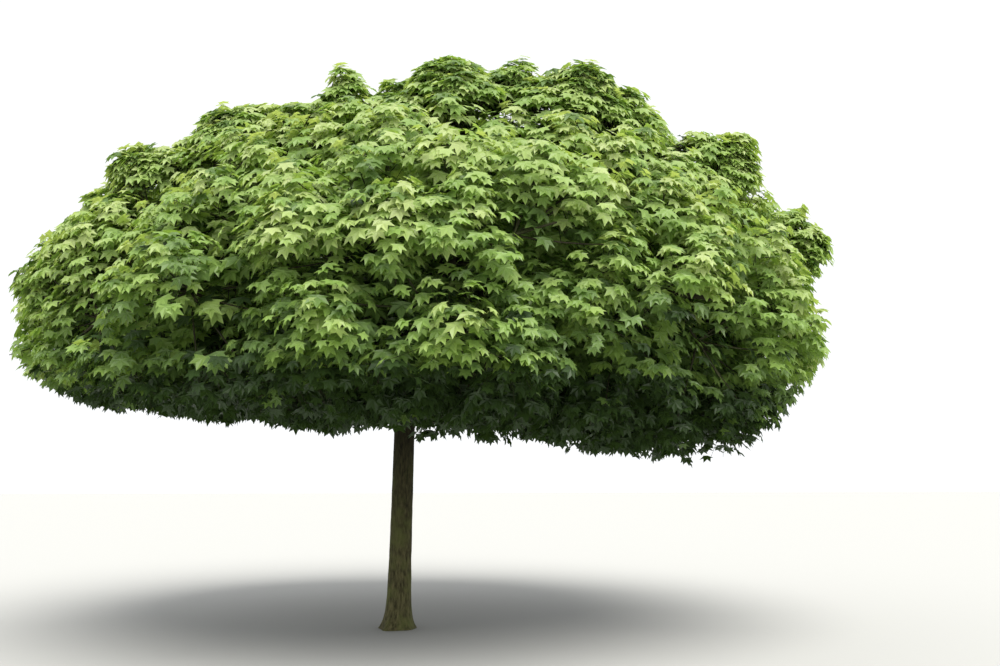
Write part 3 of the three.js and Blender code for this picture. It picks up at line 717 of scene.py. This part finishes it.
def leaves_of(sprays, rng, nodes, bare, size):
    """Pairs of leaves along the outer part of each spray, with a third one at its tip, turned so
    that their blades hang. They get smaller towards the tip, where they are young."""
    direction = unit(sprays["tip"] - sprays["start"])
    side = square_to(np.cross(direction, UP + 0.2 * sprays["facing"]), direction)
    above = np.cross(side, direction)
    rows = []
    for node in range(nodes + 1):
        share = bare + (1 - bare) * node / nodes
        foot = sprays["start"] + (sprays["tip"] - sprays["start"]) * share
        swing = math.pi / 2 * (node % 2)
        for k in range(2 if node < nodes else 3):
            turn = swing + math.pi * k + rng.normal(0, TURN["sway"], len(foot))
            out = side * np.cos(turn)[:, None] + above * TURN["above"] * np.sin(turn)[:, None]
            lead = direction * (TURN["along"] if k < 2 else TURN["end_along"])
            out = unit(out * (1 if k < 2 else TURN["end_out"]) + lead + UP * TURN["up"])
            rows.append((foot, out, np.full(len(foot), node / nodes)))
    foot, out, young = (np.concatenate(column) for column in zip(*rows))
    tile = lambda values: np.concatenate([values] * len(rows))
    facing, count = tile(sprays["facing"]), len(foot)
    stalk = LEAVES["stalk"] * rng.uniform(*LEAVES["stalk_range"], count)
    stalk = stalk * (LEAVES["stalk_old"] - LEAVES["stalk_less"] * young)
    level = np.array(HANG["level"])
    flat = unit(facing * level)
    away = tile(sprays["out"]) * level + HANG["away"] * out
    normal = unit(HANG["normal_up"] * UP + HANG["normal_flat"] * flat + HANG["normal_away"] * away
                  + rng.normal(0, HANG["normal_sway"], (count, 3)))
    hang = (out * HANG["axis_out"] + away * HANG["axis_away"] + flat * HANG["axis_flat"]
            - UP * HANG["axis_down"])
    axis = square_to(hang + rng.normal(0, HANG["axis_sway"], (count, 3)), normal)
    size = size * (1 + LEAVES["size_sway"] * (rng.random(count) * 2 - 1))
    size = size * (LEAVES["size_old"] - LEAVES["size_less"] * young)
    luck = tile(rng.normal(0, 1, len(sprays["tip"])))
    return {"foot": foot, "base": foot + out * stalk[:, None], "normal": normal, "axis": axis,
            "size": size, "height": tile(sprays["height"]), "depth": tile(sprays["depth"]),
            "facing": facing, "luck": luck}


def blade_shape():
    """Corners of a leaf that is one unit wide, with its stalk's end as the middle of the fan."""
    half = [(math.sin(math.radians(a)) * r, math.cos(math.radians(a)) * r, r) for a, r in BLADE]
    outline = [(-x, y, r) for x, y, r in reversed(half[1:-1])] + half
    corners = [(0, 0, 0)] + [(x, y, DISH["rise"] - DISH["fall"] * r * r) for x, y, r in outline]
    fan = [(0, i % len(outline) + 1, i) for i in range(1, len(outline) + 1)]
    return np.array(corners), np.array(fan)


def leaf_mesh_rows(leaves, rng):
    """Vertices and triangles of leaves, each a curled blade and the sliver of its stalk."""
    corners, fan = blade_shape()
    count = len(leaves["base"])
    side = np.cross(leaves["axis"], leaves["normal"])
    curl = (LEAVES["curl"] * rng.uniform(*LEAVES["curl_range"], count))[:, None, None]
    size = leaves["size"][:, None, None]
    blade = (side[:, None] * corners[:, 0][:, None] + leaves["axis"][:, None] * corners[:, 1][:, None]
             + leaves["normal"][:, None] * corners[:, 2][:, None] * curl)
    blade = leaves["base"][:, None] + blade * size
    edge = side * LEAVES["stalk_width"]
    stalk = np.stack([leaves["foot"] - edge, leaves["foot"] + edge], axis=1)
    vertices = np.concatenate([blade, stalk], axis=1)
    each = vertices.shape[1]
    triangles = np.vstack([fan, [(each - 2, each - 1, 0)]])
    offset = np.arange(count)[:, None, None] * each
    return vertices.reshape(-1, 3), (triangles[None] + offset).reshape(-1, 3)


def light_and_shade_tints_of(leaves, rng):
    """Each leaf's tint, much the same along a spray, as painted light and shade: lighter on top, at the
    clumps' heads, on the tufts and at the crown's ends, and darker on the underside, deep inside and in
    the gaps. Only each spray's luck is the leaves' own variation."""
    weight, facing, level = LIGHT_SHADE_AND_LUCK_WEIGHTS, leaves["facing"], leaves["base"][:, 2]
    luck = leaves["luck"] + rng.normal(0, TINT_SWAY, len(leaves["luck"]))
    # Painted shade low on the crown and where it faces down
    above_skirt = np.clip((level - SKIRT_SHADE["from"]) / SKIRT_SHADE["over"], SKIRT_SHADE["least"], SKIRT_SHADE["most"])
    below = np.clip(-UNDERSIDE_SHADE["steep"] * facing[:, 2] - UNDERSIDE_SHADE["from"], 0, 1)
    below = below * (level < UNDERSIDE_SHADE["height"])
    score = (weight["height"] * leaves["height"] + weight["facing"] * facing[:, 2]
             - weight["depth"] * leaves["depth"] + weight["luck"] * luck
             + weight["skirt"] * above_skirt + weight["sideways"] * np.abs(facing[:, 0])
             - weight["below"] * below)
    # Painted shade on the leaves round the gaps between clumps
    for azimuth, height, width in GAPS:
        away = np.linalg.norm(leaves["base"] - on_side(azimuth, height), axis=1)
        hollow = np.exp(-((away / width) ** 4))
        score = score - weight["gap"] * hollow * (leaves["depth"] > GAP_SHADE_SPARED)
    return np.searchsorted(np.quantile(score, TINT_LIMITS), score)


def joined(parts):
    """Parts that have the same keys, put end to end."""
    return {key: np.concatenate([part[key] for part in parts]) for key in parts[0]}


def clump_stems(clumps, kind, forks):
    """The leading twig of each clump, from the nearest fork of a shoot to the clump's head."""
    feet = clumps["apex"] - clumps["axis"] * kind["stem"]
    return {"start": nearest_of(forks, feet), "tip": clumps["apex"] - clumps["axis"] * STEMS["short"],
            "facing": clumps["facing"], "out": np.zeros_like(feet),
            "height": np.full(len(feet), STEMS["height"]), "depth": clumps["depth"]}


def nearest_of(choices, points):
    return choices[np.argmin(np.sum((points[:, None] - choices) ** 2, axis=-1), axis=1)]


def inside_crown(leaves, rng):
    """Which leaves keep to the crown's surface, give or take a little. Large ones keep well under it."""
    proud = LEAVES["proud_sway"] * np.minimum(rng.exponential(1, len(leaves["size"])), 2)
    proud = proud + LEAVES["proud"] * (1 - 2 * climb_of(leaves["base"])) + ends_of(leaves["base"])
    proud = proud + LEAVES["loose"] * tuft_lift(at_level(leaves["base"], 1))
    under = INNER["under"] * (leaves["size"] - LEAVES["size"])
    proud = np.where(leaves["size"] > INNER["large"], -under, proud)
    kept = np.ones(len(proud), dtype=bool)
    for share in LEAVES["tested_at"]:
        points = leaves["base"] + leaves["axis"] * leaves["size"][:, None] * share
        kept &= crown_level(points) < surface_level(points) + proud
    return kept


def crown_pieces():
    """The leaves, one piece for each step of painted light and shade, and the stems and twigs that carry
    them.
    """
    rng = np.random.default_rng(SEEDS["leaves"])
    shoots = shoot_paths()
    forks = shoots[:, SHOOT_TUBE["fork"]]
    groups, stems, twigs = [], [], []
    for clumps, kind, leaf_size in (
        (grow_clumps(CLUMPS, rng), CLUMPS, LEAVES["size"]),
        (grow_clumps(BIG_CLUMPS, rng), BIG_CLUMPS, LEAVES["size"]),
        (outstanding_clumps(rng), BOLD_CLUMPS, LEAVES["size"]),
        (tuft_clumps(rng), TUFT_CLUMPS, LEAVES["size"]),
        (grow_clumps(DEEP_CLUMPS, rng), DEEP_CLUMPS, INNER["size"]),
        (grow_clumps(HEART_CLUMPS, rng), HEART_CLUMPS, INNER["heart_size"]),
    ):
        sprays = sprays_of(clumps, kind, rng)
        stem = clump_stems(clumps, kind, forks)
        groups.append((sprays, LEAVES["nodes"], SPRAYS["bare"], leaf_size))
        groups.append((stem, INNER["nodes"], STEMS["bare"], INNER["size"]))
        stems.append(stem)
        twigs.append(sprays)
    leading = leading_shoots(rng)
    groups.append((leading, LEADERS["nodes"], LEADERS["bare"], LEAVES["size"]))
    stems.append({**leading, "start": nearest_of(forks, leading["start"])})
    leaves = joined([leaves_of(sprays, rng, nodes, bare, size) for sprays, nodes, bare, size in groups])
    kept = inside_crown(leaves, rng)
    leaves = {key: value[kept] for key, value in leaves.items()}
    tints = light_and_shade_tints_of(leaves, rng)
    for index, material in enumerate(leaf_materials):
        chosen = {key: value[tints == index] for key, value in leaves.items()}
        vertices, triangles = leaf_mesh_rows(chosen, rng)
        piece = mesh_piece(f"leaves_light_and_shade_{index + 1}", vertices, triangles, material, smooth=False)
        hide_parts(*MASS_NODES)
    twig_piece(shoots, joined(stems), joined(twigs))


def shoot_paths():
    """The solids' shoots as arching paths, which end a little short of their tips."""
    starts, tips = shoot_twigs()
    ends = starts + (tips - starts) * SHOOT_TUBE["reach"]
    return curved_paths(starts, ends, SHOOT_TUBE["bow"], SHOOT_TUBE["points"])


def tapering_tubes(paths, kind):
    radii = np.linspace(kind["base"], kind["tip"], paths.shape[1])[None] * np.ones((len(paths), 1))
    return tube_rows(paths, radii, kind["sides"])


def twig_piece(shoots, leaders, sprays):
    """The masses' stems, their shoots, the clumps' leading twigs and the sprays, as one piece."""
    rows = []
    t = np.linspace(0, 1, STEM_TUBE["points"])
    for mass in masses:
        share = mass["entry"] + (1 - mass["entry"]) * t
        path, radii = limb_points(mass, share)[None], limb_radius(share)[None]
        rows.append(tube_rows(path, radii, STEM_TUBE["sides"]))
    rows.append(tapering_tubes(shoots, SHOOT_TUBE))
    leading = curved_paths(leaders["start"], leaders["tip"], LEADER_TUBE["bow"], LEADER_TUBE["points"])
    rows.append(tapering_tubes(leading, LEADER_TUBE))
    rows.append(tapering_tubes(np.stack([sprays["start"], sprays["tip"]], axis=1), SPRAY_TUBE))
    first = np.cumsum([0] + [len(vertices) for vertices, _ in rows[:-1]])
    vertices = np.vstack([row[0] for row in rows])
    triangles = np.vstack([row[1] + start for row, start in zip(rows, first)])
    piece = mesh_piece("stems_and_twigs", vertices, triangles, twig_bark)
    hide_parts(*MASS_NODES)


# Stage: a pale floor, soft light from above and the camera where the photo was taken from

def floor():
    material, nodes, links = new_material("pale_floor")
    out = nodes.new("ShaderNodeOutputMaterial")
    matte = nodes.new("ShaderNodeBsdfPrincipled")
    matte.inputs["Base Color"].default_value = (*FLOOR["colour"], 1)
    matte.inputs["Roughness"].default_value = 0.95
    links.new(matte.outputs["BSDF"], out.inputs["Surface"])
    reach = FLOOR["reach"]
    mesh = bpy.data.meshes.new("floor")
    corners = [(-reach, -reach, 0), (reach, -reach, 0), (reach, reach, 0), (-reach, reach, 0)]
    mesh.from_pydata(corners, [], [(0, 1, 2, 3)])
    mesh.materials.append(material)
    plane = bpy.data.objects.new("floor", mesh)
    bpy.context.scene.collection.objects.link(plane)


def light():
    world = bpy.data.worlds.new("soft_sky")
    world.use_nodes = True
    sky = world.node_tree.nodes["Background"]
    sky.inputs["Color"].default_value = (*SKY["colour"], 1)
    sky.inputs["Strength"].default_value = SKY["strength"]
    bpy.context.scene.world = world
    sun = bpy.data.lights.new("soft_sun", "SUN")
    sun.energy = SUN["strength"]
    sun.angle = math.radians(SUN["softness"])
    sun.color = SUN["colour"]
    lamp = bpy.data.objects.new("soft_sun", sun)
    lamp.rotation_euler = [math.radians(angle) for angle in SUN["turn"]]
    bpy.context.scene.collection.objects.link(lamp)


def camera():
    data = bpy.data.cameras.new("photo_camera")
    data.lens = CAMERA["lens"]
    data.sensor_width = CAMERA["sensor"]
    eye = bpy.data.objects.new("photo_camera", data)
    eye.location = (0, -CAMERA["distance"], CAMERA["height"])
    eye.rotation_euler = (math.radians(90 + CAMERA["pitch"]), 0, math.radians(CAMERA["yaw"]))
    bpy.context.scene.collection.objects.link(eye)
    bpy.context.scene.camera = eye
    bpy.context.scene.view_settings.view_transform = "Standard"


camera()
light()
floor()
trunk_piece()
for mass in masses:
    bough_piece(mass)
crown_pieces()
